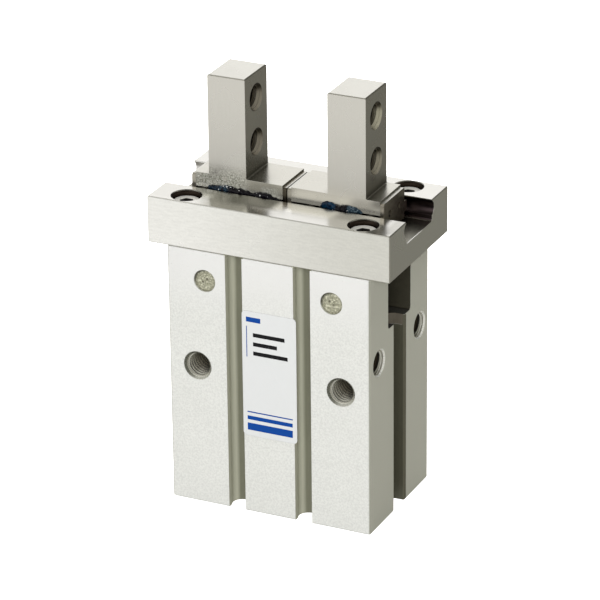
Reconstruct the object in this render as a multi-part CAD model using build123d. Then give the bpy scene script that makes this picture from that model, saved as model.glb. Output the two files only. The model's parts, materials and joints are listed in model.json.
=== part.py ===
"""A pneumatic parallel gripper with a 20 mm bore and two fingers that slide apart on one guide.

Air pushes a piston up or down inside the body. The piston rod ends in a fork with a cross pin.
Two bell-crank levers turn on shafts in the body: each has a slotted arm round the cross pin and
an upright arm whose round tip fills a socket in one finger. So the piston going up opens both
fingers by the same amount, and the piston going down closes them. The fingers run on rows of
steel balls in a U-shaped guide that is screwed to the top of the body.

Frame: the origin is the centre of the underside, +Z points up to the fingertips, the fingers
travel along X, and the labelled face looks along -Y. Sizes are in millimetres. The model stands
as photographed, with each finger a little open from its closed stop.
"""

import math
import os

from build123d import *

# Body block
body_length = 42.0
body_depth = 27.6
body_height = 52.8
body_corner_radius = 0.5
body_edge_break = 0.2

# Sensor grooves, two on the front and two on the back, open at both ends
groove_spacing = 14.1
groove_mouth = 3.5
groove_bore_radius = 2.0
groove_bore_drop = 2.1

# Slot down each end face, below the lever pocket
slot_width = 5.0
slot_depth = 3.6
slot_lip_radius = 0.4
slot_floor_radius = 2.0

# Lever pocket, cut across the top of the body from end to end
pocket_width = 10.7
pocket_depth = 13.4
pocket_corner_radius = 0.8

# Cylinder bore, with a pilot recess at the underside
pilot_radius = 10.5
pilot_depth = 1.5
bore_radius = 10.0
rod_hole_radius = 6.5
bore_lead_in = 0.4

# Mounting threads: M5 through the body, M5 and dowel holes in the underside
thread_radius = 2.5
thread_mouth_radius = 2.95
tap_drill_radius = 2.1
side_thread_inset = 6.0
side_thread_height = 28.9
side_thread_depth = 8.0
base_hole_inset_x = 6.0
base_hole_inset_y = 4.8
base_thread_depth = 7.0
base_dowel_radius = 2.0
base_dowel_depth = 4.0

# Air ports in the +X end face, and the drillings that join them to the bore
port_inset = 4.3
port_height = 34.3
port_depth = 5.0
port_mouth_radius = 2.8
port_drill_depth = 10.8
air_hole_radius = 0.8
air_hole_slope = 1.43
feed_inset = 2.4
feed_slope = 0.5
plug_radius = 1.1
plug_rise = 2.0
plug_clearance = 0.01

# Retaining rings in the bore
clip_land = 0.5
clip_thickness = 1.0
clip_play = 0.1
clip_groove_depth = 0.5
clip_width = 1.7
clip_lug_radius = 1.5
clip_lug_hole_radius = 0.7
clip_lug_inset = 0.6
clip_gap_angle = 54.0
snap_ring_gap_angle = 30.0

# End cap, rod cover and seals
cap_thickness = 5.0
cover_thickness = 7.0
sliding_clearance = 0.03
rod_clearance = 0.05
oring_radius = 0.85
oring_groove_width = 2.2
oring_cap_height = 2.5
oring_cover_height = 5.6
rod_seal_height = 3.0
rod_seal_wall = 2.1
rod_seal_rise = 1.1
seal_notch = 0.9

# Bumpers
bumper_outer_radius = 7.8
lower_bumper_bore_radius = 5.2
lower_bumper_thickness = 1.2
upper_bumper_thickness = 2.2
bumper_gap = 0.2

# Piston and rod
piston_height = 12.4
piston_clearance = 0.08
piston_groove_depth = 2.1
piston_groove_wall = 1.4
magnet_height = 3.4
magnet_inset = 0.3
piston_seal_height = 3.2
groove_play = 0.1
rod_radius = 6.0
spigot_radius = 4.0
spigot_depth = 2.0
bolt_radius = 2.5
bolt_head_radius = 4.25
bolt_head_height = 5.0
bolt_reach = 13.2
bolt_socket_radius = 2.3
bolt_socket_depth = 2.6

# Fork at the top of the rod, with its cross pin
fork_slot_width = 7.2
fork_slot_drop = 5.5
fork_top_rise = 2.4
joint_pin_radius = 2.0
joint_pin_end_gap = 0.6

# Levers and their shafts
pivot_inset = 7.85
pivot_drop = 6.0
shaft_radius = 2.25
shaft_recess = 0.3
lever_reach = 13.4
lever_tip_radius = 2.2
lever_neck_half_width = 1.45
lever_neck_drop = 3.4
lever_root_half_width = 2.7
lever_tip_thickness = 5.0
hub_radius = 4.3
hub_side_gap = 0.25
shaft_clearance = 0.05
joint_drop = 1.8
fork_arm_thickness = 3.3
fork_arm_gap = 0.1
fork_arm_half_height = 3.85
fork_arm_overhang = 2.6
fork_arm_root_inset = 2.6
fork_arm_root_half_height = 3.4
fork_arm_heel = 5.2
slot_clearance = 0.09
slot_run_in = 0.4

# Motion: each finger's whole travel, and how far it stands from its closed stop here
finger_travel = 5.0
travel_shown = 0.05
jaw_gap_closed = 16.8

# Guide block
guide_overhang = 4.0
guide_setback = 0.15
guide_height = 9.4
guide_edge_break = 0.15
channel_width = 12.2
channel_depth = 4.35
channel_corner_radius = 0.6
window_half_length = 4.2
window_width = 6.0
window_corner_radius = 1.0

# Ball rows
ball_radius = 1.5
ball_drop = 1.7
balls_in_row = 5
ball_pitch = 3.05
raceway_clearance = 0.12

# Fingers
finger_width = 9.5
base_length = 18.2
base_rise = 2.6
base_floor_gap = 0.3
blade_inset = 7.55
blade_thickness = 7.8
blade_height = 20.0
blade_root_radius = 0.2
blade_edge_break = 0.2
finger_hole_drop = 5.0
finger_hole_pitch = 9.0
finger_hole_mouth_radius = 2.75
socket_clearance = 0.07
socket_side_gap = 0.2
socket_roof_gap = 0.3

# End plates of the fingers, with ears that keep the balls in, and their pins
plate_thickness = 0.8
plate_drop = 0.4
plate_edge_break = 0.35
plate_ear_gap = 0.3
plate_ear_height = 2.0
plate_pin_radius = 0.6
plate_pin_spacing = 4.2
plate_pin_drop = 3.1
plate_pin_length = 3.6
plate_pin_recess = 0.2
plate_pin_clearance = 0.02

# Guide screws and dowels
screw_inset_x = 2.75
screw_inset_y = 3.4
screw_radius = 1.5
screw_head_radius = 2.75
screw_head_height = 3.0
screw_head_recess = 1.1
screw_edge_break = 0.25
screw_length = 11.0
screw_socket_radius = 1.44
screw_socket_depth = 1.6
counterbore_radius = 3.0
screw_hole_clearance = 0.2
thread_clearance = 0.02
screw_tip_gap = 1.0
dowel_radius = 1.5
dowel_length = 8.0
dowel_inset = 4.0
dowel_clearance = 0.01
dowel_end_gap = 0.3

# Label on the front face
label_width = 11.3
label_height = 26.0
label_left = 5.4
label_bottom = 16.3
label_thickness = 0.12
label_corner_radius = 0.8

# Places that follow from the sizes above
front_y = -body_depth / 2
side_thread_x = body_length / 2 - side_thread_inset
base_hole_x = body_length / 2 - base_hole_inset_x
base_hole_y = body_depth / 2 - base_hole_inset_y
port_y = body_depth / 2 - port_inset
pivot_x = body_length / 2 - pivot_inset
screw_x = body_length / 2 - screw_inset_x
screw_y = body_depth / 2 - screw_inset_y
dowel_y = body_depth / 2 - dowel_inset
guide_length = body_length + 2 * guide_overhang
guide_depth = body_depth - 2 * guide_setback
pocket_floor = body_height - pocket_depth
pivot_z = body_height - pivot_drop
guide_top = body_height + guide_height
channel_floor = guide_top - channel_depth
ball_z = guide_top - ball_drop
ball_y = (channel_width + finger_width) / 4
base_bottom = channel_floor + base_floor_gap
base_top = guide_top + base_rise
finger_tip = base_top + blade_height
blade_inner = jaw_gap_closed / 2 + travel_shown
base_inner = blade_inner - blade_inset
base_outer = base_inner + base_length

# Lever pose: travel is measured from the middle of the stroke, where the upright arm is vertical
travel_now = travel_shown - finger_travel / 2


def lever_angle(travel):
    """The lever's turn, in radians, that moves its tip sideways by this travel."""
    return math.asin(travel / lever_reach)


def joint_lift(travel):
    """How far the cross pin stands above its middle height at this travel."""
    angle = lever_angle(travel)
    return pivot_x * math.tan(angle) - joint_drop * (1 / math.cos(angle) - 1)


lowest_lift = joint_lift(-finger_travel / 2)
highest_lift = joint_lift(finger_travel / 2)
lift_now = joint_lift(travel_now)
joint_z = pivot_z - joint_drop + lift_now

# Stack inside the bore, from the underside up
lower_clip_top = pilot_depth + clip_land + clip_thickness + clip_play
cap_top = lower_clip_top + cap_thickness
piston_lowest = cap_top + lower_bumper_thickness + bumper_gap
piston_bottom = piston_lowest + lift_now - lowest_lift
piston_top = piston_bottom + piston_height
piston_highest_top = piston_top + highest_lift - lift_now
cover_bottom = piston_highest_top + bumper_gap + upper_bumper_thickness
cover_top = cover_bottom + cover_thickness
piston_radius = bore_radius - piston_clearance

# Guide screws and dowels in height
screw_seat = guide_top - screw_head_recess - screw_head_height
screw_tip = screw_seat - screw_length
dowel_bottom = body_height - dowel_length / 2
dowel_top = body_height + dowel_length / 2


def along_x(outline, low, high):
    """A prism from x = low to x = high; the outline's axes are Y and Z."""
    return Pos(low, 0, 0) * extrude(Plane.YZ * outline, amount=high - low)


def along_y(outline, low, high):
    """A prism from y = low to y = high; the outline's axes are X and Z."""
    return Pos(0, low, 0) * extrude(Plane.XZ * outline, amount=low - high)


def along_z(outline, low, high):
    """A prism from z = low to z = high; the outline's axes are X and Y."""
    return Pos(0, 0, low) * extrude(Plane.XY * outline, amount=high - low)


def block(low, high):
    """A box between two corners."""
    size = [b - a for a, b in zip(low, high)]
    middle = [(a + b) / 2 for a, b in zip(low, high)]
    return Pos(*middle) * Box(*size)


def turned(points):
    """A solid of revolution about Z, from points given as (radius, height)."""
    return revolve(Plane.XZ * make_face(Polyline(*points, close=True)), Axis.Z)


def ring(inner, outer, low, high):
    """A plain ring about Z."""
    return along_z(Circle(outer) - Circle(inner), low, high)


def drill(mouth, outward, radius, depth, mouth_radius=0.0):
    """A tool for a hole that opens at a point, with a chamfered mouth where a radius is given."""
    tool = Pos(0, 0, -depth / 2) * Cylinder(radius, depth)
    if mouth_radius > radius:
        chamfer_depth = mouth_radius - radius
        tool += Pos(0, 0, -chamfer_depth / 2) * Cone(radius, mouth_radius, chamfer_depth)
    return Plane(origin=mouth, z_dir=outward) * tool


def passage(start, end, radius):
    """A tool for a straight drilling between two points."""
    line = Vector(*end) - Vector(*start)
    return Plane(origin=start, z_dir=line) * Pos(0, 0, line.length / 2) * Cylinder(radius, line.length)


def mirrored(shape):
    """The same shape on the other side of the middle, in X."""
    return mirror(shape, about=Plane.YZ)


def fuse(shapes):
    """Several tools as one."""
    total = shapes[0]
    for shape in shapes[1:]:
        total += shape
    return total


# Body


def sensor_groove():
    """A keyhole groove for a round sensor, in the front face at x = 0, for the whole height."""
    centre = front_y + groove_bore_drop
    mouth = Pos(0, (front_y + centre) / 2) * Rectangle(groove_mouth, groove_bore_drop)
    return along_z(mouth + Pos(0, centre) * Circle(groove_bore_radius), 0, body_height)


def end_slot():
    """The slot down the +X end face, with a round floor and softened lips."""
    face = body_length / 2
    floor = face - slot_depth
    lip = face - slot_lip_radius
    half = slot_width / 2
    mouth = half + slot_lip_radius
    with BuildSketch() as outline:
        with BuildLine():
            Polyline((lip, half), (floor, half), (floor, -half), (lip, -half))
            RadiusArc((lip, -half), (face, -mouth), slot_lip_radius)
            Line((face, -mouth), (face, mouth))
            RadiusArc((face, mouth), (lip, half), slot_lip_radius)
        make_face()
        fillet(outline.vertices().group_by(Axis.X)[0], slot_floor_radius)
    return along_z(outline.sketch, 0, pocket_floor)


def lever_pocket():
    """The cut across the top of the body that the levers swing in."""
    with BuildSketch() as outline:
        with Locations((0, (pocket_floor + body_height) / 2)):
            Rectangle(pocket_width, pocket_depth)
        fillet(outline.vertices().group_by(Axis.Y)[0], pocket_corner_radius)
    return along_x(outline.sketch, -body_length / 2, body_length / 2)


def cylinder_bore():
    """Pilot recess, bore with its two ring grooves, and the rod hole up through the pocket."""
    groove = clip_thickness + clip_play
    tool = Pos(0, 0, pilot_depth / 2) * Cylinder(pilot_radius, pilot_depth)
    tool += along_z(Circle(bore_radius), 0, cover_top)
    tool += along_z(Circle(rod_hole_radius), cover_top, body_height)
    for top in (lower_clip_top, cover_bottom):
        tool += along_z(Circle(bore_radius + clip_groove_depth), top - groove, top)
    return tool


def slanted_passage(angle, low_z, slope, reach):
    """A drilling that can be made from the bore: outwards and upwards from its wall."""
    start_reach = bore_radius - air_hole_radius
    start = (start_reach * math.cos(angle), start_reach * math.sin(angle), low_z)
    end_z = low_z + slope * (reach - start_reach)
    end = (reach * math.cos(angle), reach * math.sin(angle), end_z)
    return passage(start, end, air_hole_radius)


def air_drillings():
    """Both air ports and the small drillings from them to the two ends of the bore."""
    face = body_length / 2
    y = port_y
    ports = [
        drill((face, side * y, port_height), (1, 0, 0), thread_radius, port_depth, port_mouth_radius)
        for side in (-1, 1)
    ]
    inner_x = face - port_drill_depth + air_hole_radius
    straight = passage((face, y, port_height), (inner_x - air_hole_radius, y, port_height), air_hole_radius)
    upper_z = cover_bottom - clip_thickness - clip_play - air_hole_radius * air_hole_slope
    upper_reach = math.hypot(inner_x, y)
    closing = slanted_passage(math.atan2(y, inner_x), upper_z, air_hole_slope, upper_reach)
    feed_x = face - feed_inset
    opening = passage((feed_x, -y, 0), (feed_x, -y, port_height), air_hole_radius)
    opening += along_z(Pos(feed_x, -y) * Circle(plug_radius + plug_clearance), 0, plug_rise)
    lower_z = cap_top + air_hole_radius
    lower_reach = math.hypot(feed_x, y)
    opening += slanted_passage(math.atan2(-y, feed_x), lower_z, feed_slope, lower_reach)
    return fuse([*ports, straight, closing, opening])


def passage_plug():
    """The steel ball pressed into the open end of the long drilling, under the body."""
    seat_drop = math.sqrt(plug_radius**2 - air_hole_radius**2) + plug_clearance
    place = Pos(body_length / 2 - feed_inset, -port_y, plug_rise - seat_drop)
    return place * Sphere(plug_radius)


def mounting_holes():
    """Threads through the front and back faces, and threads and dowel holes in the underside."""
    tools = []
    for x in (-side_thread_x, side_thread_x):
        for side in (-1, 1):
            mouth = (x, side * body_depth / 2, side_thread_height)
            outward = (0, side, 0)
            tools.append(drill(mouth, outward, thread_radius, side_thread_depth, thread_mouth_radius))
            tools.append(drill(mouth, outward, tap_drill_radius, body_depth / 2))
    for side in (-1, 1):
        down = (0, 0, -1)
        thread_at = (side * base_hole_x, side * base_hole_y, 0)
        dowel_at = (side * base_hole_x, -side * base_hole_y, 0)
        tools.append(drill(thread_at, down, thread_radius, base_thread_depth, thread_mouth_radius))
        tools.append(drill(dowel_at, down, base_dowel_radius, base_dowel_depth))
    return fuse(tools)


def guide_fixings(screw_hole, dowel_hole):
    """Tools for the four screw holes and the two dowel holes, each given as (radius, low, high)."""
    tools = []
    for x in (-screw_x, screw_x):
        for y in (-screw_y, screw_y):
            tools.append(along_z(Pos(x, y) * Circle(screw_hole[0]), *screw_hole[1:]))
    for y in (-dowel_y, dowel_y):
        tools.append(along_z(Pos(0, y) * Circle(dowel_hole[0]), *dowel_hole[1:]))
    return fuse(tools)


def body():
    """The aluminium body block."""
    solid = along_z(RectangleRounded(body_length, body_depth, body_corner_radius), 0, body_height)
    ends = solid.faces().filter_by(Plane.XY)
    solid = chamfer(ends.edges(), body_edge_break)
    groove = Pos(groove_spacing / 2, 0, 0) * sensor_groove()
    grooves = groove + mirrored(groove)
    grooves += mirror(grooves, about=Plane.XZ)
    slot = end_slot()
    shaft_hole = along_y(Pos(pivot_x, pivot_z) * Circle(shaft_radius), front_y, -front_y)
    fixings = guide_fixings(
        (screw_radius + thread_clearance, screw_tip - screw_tip_gap, body_height),
        (dowel_radius + dowel_clearance, dowel_bottom - dowel_end_gap, body_height),
    )
    for tool in (
        grooves,
        slot,
        mirrored(slot),
        lever_pocket(),
        cylinder_bore(),
        air_drillings(),
        mounting_holes(),
        shaft_hole,
        mirrored(shaft_hole),
        fixings,
    ):
        solid -= tool
    return solid


def lever_shaft():
    """A plain shaft for the +X lever, pressed through both pocket walls."""
    half = body_depth / 2 - shaft_recess
    return along_y(Pos(pivot_x, pivot_z) * Circle(shaft_radius), -half, half)


# Pieces fixed in the bore


def open_ring(gap_angle):
    """The outline of a sprung ring in its groove, with its gap towards -Y."""
    outer = bore_radius + clip_groove_depth - sliding_clearance
    half_gap = math.radians(gap_angle / 2)
    side = 2 * outer * math.sin(half_gap)
    depth = 2 * outer * math.cos(half_gap)
    wedge = make_face(Polyline((0, 0), (-side, -depth), (side, -depth), close=True))
    return Circle(outer) - Circle(outer - clip_width) - wedge


def eyed_ring(bottom):
    """The retaining ring under the end cap, with an eye at each end for pliers."""
    lug_centre = bore_radius + clip_groove_depth - clip_width - clip_lug_inset
    lug_angle = clip_gap_angle / 2 + math.degrees(clip_lug_radius / lug_centre)
    places = [Rot(0, 0, side * lug_angle) * Pos(0, -lug_centre) for side in (-1, 1)]
    outline = open_ring(clip_gap_angle)
    for place in places:
        outline += place * Circle(clip_lug_radius)
    for place in places:
        outline -= place * Circle(clip_lug_hole_radius)
    return along_z(outline, bottom, bottom + clip_thickness)


def snap_ring(bottom):
    """The plain ring that holds the rod cover up."""
    return along_z(open_ring(snap_ring_gap_angle), bottom, bottom + clip_thickness)


def oring(outer, z):
    """A round sealing ring about Z that reaches this radius."""
    return Pos(0, 0, z) * Torus(outer - oring_radius, oring_radius)


def oring_groove(outer, z):
    """The groove that such a ring sits in."""
    floor = outer - 2 * oring_radius - sliding_clearance
    return ring(floor, outer + oring_radius, z - oring_groove_width / 2, z + oring_groove_width / 2)


def end_cap():
    """The plug that closes the bore from below, with a shallow turned dish in its outer face."""
    radius = bore_radius - sliding_clearance
    solid = along_z(Circle(radius), lower_clip_top, cap_top)
    solid = chamfer(solid.edges(), bore_lead_in)
    dish_radius = radius - clip_width - clip_lug_radius
    solid -= along_z(Circle(dish_radius), lower_clip_top, lower_clip_top + bore_lead_in)
    return solid - oring_groove(radius, lower_clip_top + oring_cap_height)


def rod_cover():
    """The bush that closes the top of the bore round the rod and holds the rod seal."""
    radius = bore_radius - sliding_clearance
    solid = ring(rod_radius + rod_clearance, radius, cover_bottom, cover_top)
    solid -= ring(
        rod_radius, rod_radius + rod_seal_wall + sliding_clearance, *rod_seal_heights(groove_play)
    )
    return solid - oring_groove(radius, cover_bottom + oring_cover_height)


def rod_seal_heights(play=0.0):
    """Bottom and top of the rod seal, or of its groove when play is added."""
    low = cover_bottom + rod_seal_rise
    return low - play, low + rod_seal_height + play


def rod_seal():
    """A lip seal round the rod, open towards the pressure below."""
    low, high = rod_seal_heights()
    inner = rod_radius + rod_clearance / 2
    outer = rod_radius + rod_seal_wall
    middle = (inner + outer) / 2
    section = [
        (inner, low),
        (middle - seal_notch / 2, low),
        (middle, low + seal_notch * 1.5),
        (middle + seal_notch / 2, low),
        (outer, low),
        (outer, high),
        (inner, high),
    ]
    return turned(section)


# Piston and rod


def piston_grooves():
    """Bottom and top heights of the magnet groove and the seal groove."""
    magnet_low = piston_bottom + piston_groove_wall
    magnet_high = magnet_low + magnet_height + groove_play
    seal_high = piston_top - piston_groove_wall
    seal_low = seal_high - piston_seal_height - groove_play
    return (magnet_low, magnet_high), (seal_low, seal_high)


def piston():
    """The piston disc, bored for the bolt and the rod's spigot."""
    solid = along_z(Circle(piston_radius), piston_bottom, piston_top)
    solid = chamfer(solid.edges(), bore_lead_in)
    groove_floor = piston_radius - piston_groove_depth
    for low, high in piston_grooves():
        solid -= ring(groove_floor, bore_radius, low, high)
    head_depth = bolt_head_height + groove_play
    solid -= along_z(
        Circle(bolt_head_radius + piston_clearance), piston_bottom, piston_bottom + head_depth
    )
    solid -= along_z(Circle(bolt_radius + thread_clearance), piston_bottom, piston_top)
    spigot_floor = piston_top - spigot_depth - groove_play
    return solid - along_z(Circle(spigot_radius + sliding_clearance), spigot_floor, piston_top)


def magnet_ring():
    """The magnet that the sensors read, in the piston's lower groove."""
    low, high = piston_grooves()[0]
    inner = piston_radius - piston_groove_depth + sliding_clearance
    return ring(inner, piston_radius - magnet_inset, low, high - groove_play)


def piston_seal():
    """A two-lipped seal in the piston's upper groove, just touching the bore."""
    low, high = piston_grooves()[1]
    high -= groove_play
    inner = piston_radius - piston_groove_depth + sliding_clearance
    outer = bore_radius - sliding_clearance
    waist = outer - seal_notch / 2
    middle = (low + high) / 2
    return turned([(inner, low), (outer, low), (waist, middle), (outer, high), (inner, high)])


def piston_rod():
    """The rod, with a spigot for the piston below and a fork for the cross pin above."""
    top = joint_z + fork_top_rise
    solid = along_z(Circle(rod_radius), piston_top, top)
    solid = chamfer(solid.edges().group_by(Axis.Z)[-1], bore_lead_in)
    solid += along_z(Circle(spigot_radius), piston_top - spigot_depth, piston_top)
    slot_floor = joint_z - fork_slot_drop
    solid -= block(
        (-rod_radius, -fork_slot_width / 2, slot_floor), (rod_radius, fork_slot_width / 2, top)
    )
    solid -= along_y(
        Pos(0, joint_z) * Circle(joint_pin_radius + sliding_clearance), -rod_radius, rod_radius
    )
    bolt_top = piston_bottom + bolt_head_height + groove_play + bolt_reach + screw_tip_gap
    return solid - along_z(Circle(bolt_radius + thread_clearance), piston_top - spigot_depth, bolt_top)


def socket_bolt(head_radius, head_height, shank_radius, length, socket_radius, socket_depth):
    """A socket-head screw that points down, with its head's underside at the origin."""
    head = along_z(Circle(head_radius), 0, head_height)
    head = chamfer(head.edges().group_by(Axis.Z)[-1], screw_edge_break)
    hexagon = RegularPolygon(socket_radius, 6)
    head -= along_z(hexagon, head_height - socket_depth, head_height)
    return head + along_z(Circle(shank_radius), -length, 0)


def piston_bolt():
    """The bolt that clamps the piston to the rod from below."""
    bolt = socket_bolt(
        bolt_head_radius, bolt_head_height, bolt_radius, bolt_reach, bolt_socket_radius, bolt_socket_depth
    )
    seat = piston_bottom + bolt_head_height + groove_play
    return Pos(0, 0, seat) * Rot(180, 0, 0) * bolt


def joint_pin():
    """The cross pin in the rod's fork."""
    half = rod_radius - joint_pin_end_gap
    return along_y(Pos(0, joint_z) * Circle(joint_pin_radius), -half, half)


# Levers


def upright_outline():
    """The upright arm, from the hub to its round tip; the origin is the pivot."""
    neck = lever_reach - lever_neck_drop
    stem = make_face(
        Polyline(
            (-lever_root_half_width, 0),
            (-lever_root_half_width, hub_radius),
            (-lever_neck_half_width, neck),
            (-lever_neck_half_width, lever_reach),
            (lever_neck_half_width, lever_reach),
            (lever_neck_half_width, neck),
            (lever_root_half_width, hub_radius),
            (lever_root_half_width, 0),
            close=True,
        )
    )
    return stem + Pos(0, lever_reach) * Circle(lever_tip_radius)


def slotted_outline():
    """The arm that reaches past the cross pin, with its open slot; the origin is the pivot."""
    end = -pivot_x - fork_arm_overhang
    top = fork_arm_half_height - joint_drop
    bottom = -fork_arm_half_height - joint_drop
    arm = make_face(
        Polyline(
            (end, bottom),
            (end, top),
            (-fork_arm_root_inset, fork_arm_root_half_height),
            (-fork_arm_root_inset, -fork_arm_root_half_height),
            (-fork_arm_heel, bottom),
            close=True,
        )
    )
    slot_half = joint_pin_radius + slot_clearance
    slot_end = -pivot_x + slot_run_in
    slot = Pos((end + slot_end) / 2, -joint_drop) * Rectangle(slot_end - end, 2 * slot_half)
    slot += Pos(slot_end, -joint_drop) * Circle(slot_half)
    return arm - slot


def lever():
    """The +X lever as it stands here; its slotted arm lies in the back half of the fork."""
    hub_half = pocket_width / 2 - hub_side_gap
    tip_half = lever_tip_thickness / 2
    arm_high = fork_arm_gap + fork_arm_thickness
    solid = along_y(Circle(hub_radius), -hub_half, hub_half)
    solid += along_y(upright_outline(), -tip_half, tip_half)
    solid += along_y(slotted_outline(), fork_arm_gap, arm_high)
    solid -= along_y(Circle(shaft_radius + shaft_clearance), -hub_half, hub_half)
    turn = math.degrees(lever_angle(travel_now))
    return Pos(pivot_x, 0, pivot_z) * Rot(0, turn, 0) * solid


def turned_about_z(shape):
    """The same shape turned half round, as the -X lever and its pieces are."""
    return Rot(0, 0, 180) * shape


# Guide


def channel_outline():
    """The guide's channel in Y and Z, with a raceway in each side."""
    with BuildSketch() as outline:
        with Locations((0, (channel_floor + guide_top) / 2)):
            Rectangle(channel_width, channel_depth)
        fillet(outline.vertices().group_by(Axis.Y)[0], channel_corner_radius)
    raceways = [
        Pos(side * ball_y, ball_z) * Circle(ball_radius + raceway_clearance) for side in (-1, 1)
    ]
    return outline.sketch + raceways[0] + raceways[1]


def guide():
    """The hardened guide block that the fingers run in."""
    half = guide_length / 2
    solid = block((-half, -guide_depth / 2, body_height), (half, guide_depth / 2, guide_top))
    solid = chamfer(solid.edges(), guide_edge_break)
    solid -= along_x(channel_outline(), -half, half)
    window = along_z(
        Pos(pivot_x, 0) * RectangleRounded(2 * window_half_length, window_width, window_corner_radius),
        body_height,
        channel_floor,
    )
    solid -= window
    solid -= mirrored(window)
    solid -= guide_fixings(
        (screw_radius + screw_hole_clearance, body_height, screw_seat),
        (dowel_radius + dowel_clearance, body_height, dowel_top + dowel_end_gap),
    )
    for x in (-screw_x, screw_x):
        for y in (-screw_y, screw_y):
            solid -= along_z(Pos(x, y) * Circle(counterbore_radius), screw_seat, guide_top)
    return solid


def guide_screws():
    """The four screws that hold the guide on the body."""
    screw = socket_bolt(
        screw_head_radius,
        screw_head_height,
        screw_radius,
        screw_length,
        screw_socket_radius,
        screw_socket_depth,
    )
    return Compound(
        children=[
            Pos(x, y, screw_seat) * screw
            for x in (-screw_x, screw_x)
            for y in (-screw_y, screw_y)
        ]
    )


def guide_dowels():
    """The two dowels that locate the guide on the body."""
    return Compound(
        children=[
            along_z(Pos(0, y) * Circle(dowel_radius), dowel_bottom, dowel_top)
            for y in (-dowel_y, dowel_y)
        ]
    )


# Fingers


def finger():
    """The +X finger: its ball-grooved base and upright blade are one piece."""
    half = finger_width / 2
    blade_outer = blade_inner + blade_thickness
    with BuildSketch() as outline:
        with BuildLine():
            Polyline(
                (base_inner, base_bottom),
                (base_inner, base_top),
                (blade_inner, base_top),
                (blade_inner, finger_tip),
                (blade_outer, finger_tip),
                (blade_outer, base_top),
                (base_outer, base_top),
                (base_outer, base_bottom),
                close=True,
            )
        make_face()
        roots = [v for v in outline.vertices() if v.Y == base_top and blade_inner <= v.X <= blade_outer]
        fillet(roots, blade_root_radius)
    solid = along_y(outline.sketch, -half, half)
    tip_edges = solid.faces().sort_by(Axis.Z)[-1].edges()
    solid = chamfer(tip_edges, blade_edge_break)
    for side in (-1, 1):
        raceway = Pos(side * ball_y, ball_z) * Circle(ball_radius + raceway_clearance)
        solid -= along_x(raceway, base_inner, base_outer)
    solid -= lever_socket()
    for number in (0, 1):
        z = finger_tip - finger_hole_drop - number * finger_hole_pitch
        solid -= drill(
            (blade_outer, 0, z), (1, 0, 0), thread_radius, blade_thickness, finger_hole_mouth_radius
        )
        solid -= drill(
            (blade_inner, 0, z), (-1, 0, 0), thread_radius, blade_thickness, finger_hole_mouth_radius
        )
    return solid - plate_pin_holes()


def lever_socket():
    """The pocket in the underside of the finger's base for the lever's tip."""
    centre = pivot_x + travel_now
    half_length = lever_tip_radius + socket_clearance
    half_width = lever_tip_thickness / 2 + socket_side_gap
    roof = pivot_z + lever_reach + lever_tip_radius + socket_roof_gap
    return block(
        (centre - half_length, -half_width, base_bottom), (centre + half_length, half_width, roof)
    )


def plate_pin_places():
    """Y and Z of the two pins through each end plate."""
    z = base_top - plate_pin_drop
    return [(-plate_pin_spacing / 2, z), (plate_pin_spacing / 2, z)]


def plate_pin_holes():
    """Blind holes for the plate pins in both ends of the finger's base."""
    reach = plate_pin_length - plate_thickness + plate_pin_recess + groove_play
    tools = []
    for y, z in plate_pin_places():
        circle = Pos(y, z) * Circle(plate_pin_radius + plate_pin_clearance)
        tools.append(along_x(circle, base_inner, base_inner + reach))
        tools.append(along_x(circle, base_outer - reach, base_outer))
    return fuse(tools)


def end_plate(low):
    """A plate over one end of the finger's base, from x = low, with ears over the ball rows."""
    top = base_top - plate_drop
    with BuildSketch() as outline:
        with Locations((0, (base_bottom + top) / 2)):
            Rectangle(finger_width, top - base_bottom)
        chamfer(outline.vertices().group_by(Axis.Y)[-1], plate_edge_break)
    ears = Pos(0, ball_z) * Rectangle(channel_width - 2 * plate_ear_gap, plate_ear_height)
    sketch = outline.sketch + ears
    for y, z in plate_pin_places():
        sketch -= Pos(y, z) * Circle(plate_pin_radius + plate_pin_clearance)
    return along_x(sketch, low, low + plate_thickness)


def plate_pins():
    """The four pins that hold both end plates of the +X finger."""
    pins = []
    for y, z in plate_pin_places():
        circle = Pos(y, z) * Circle(plate_pin_radius)
        inner = base_inner - plate_thickness + plate_pin_recess
        outer = base_outer + plate_thickness - plate_pin_recess
        pins.append(along_x(circle, inner, inner + plate_pin_length))
        pins.append(along_x(circle, outer - plate_pin_length, outer))
    return Compound(children=pins)


def ball_row_middle():
    """The middle of the +X ball rows: they roll half as far as the finger slides."""
    base_middle = (base_inner + base_outer) / 2 - travel_now
    return base_middle + travel_now / 2


def balls():
    """The balls on both sides of the +X finger."""
    return Compound(
        children=[
            Pos(ball_row_middle() + (number - (balls_in_row - 1) / 2) * ball_pitch, side * ball_y, ball_z)
            * Sphere(ball_radius)
            for side in (-1, 1)
            for number in range(balls_in_row)
        ]
    )


def label():
    """The thin label stuck on the front face."""
    middle_x = label_width / 2 - label_left
    middle_z = label_bottom + label_height / 2
    outline = Pos(middle_x, middle_z) * RectangleRounded(label_width, label_height, label_corner_radius)
    return along_y(outline, front_y - label_thickness, front_y)


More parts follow.
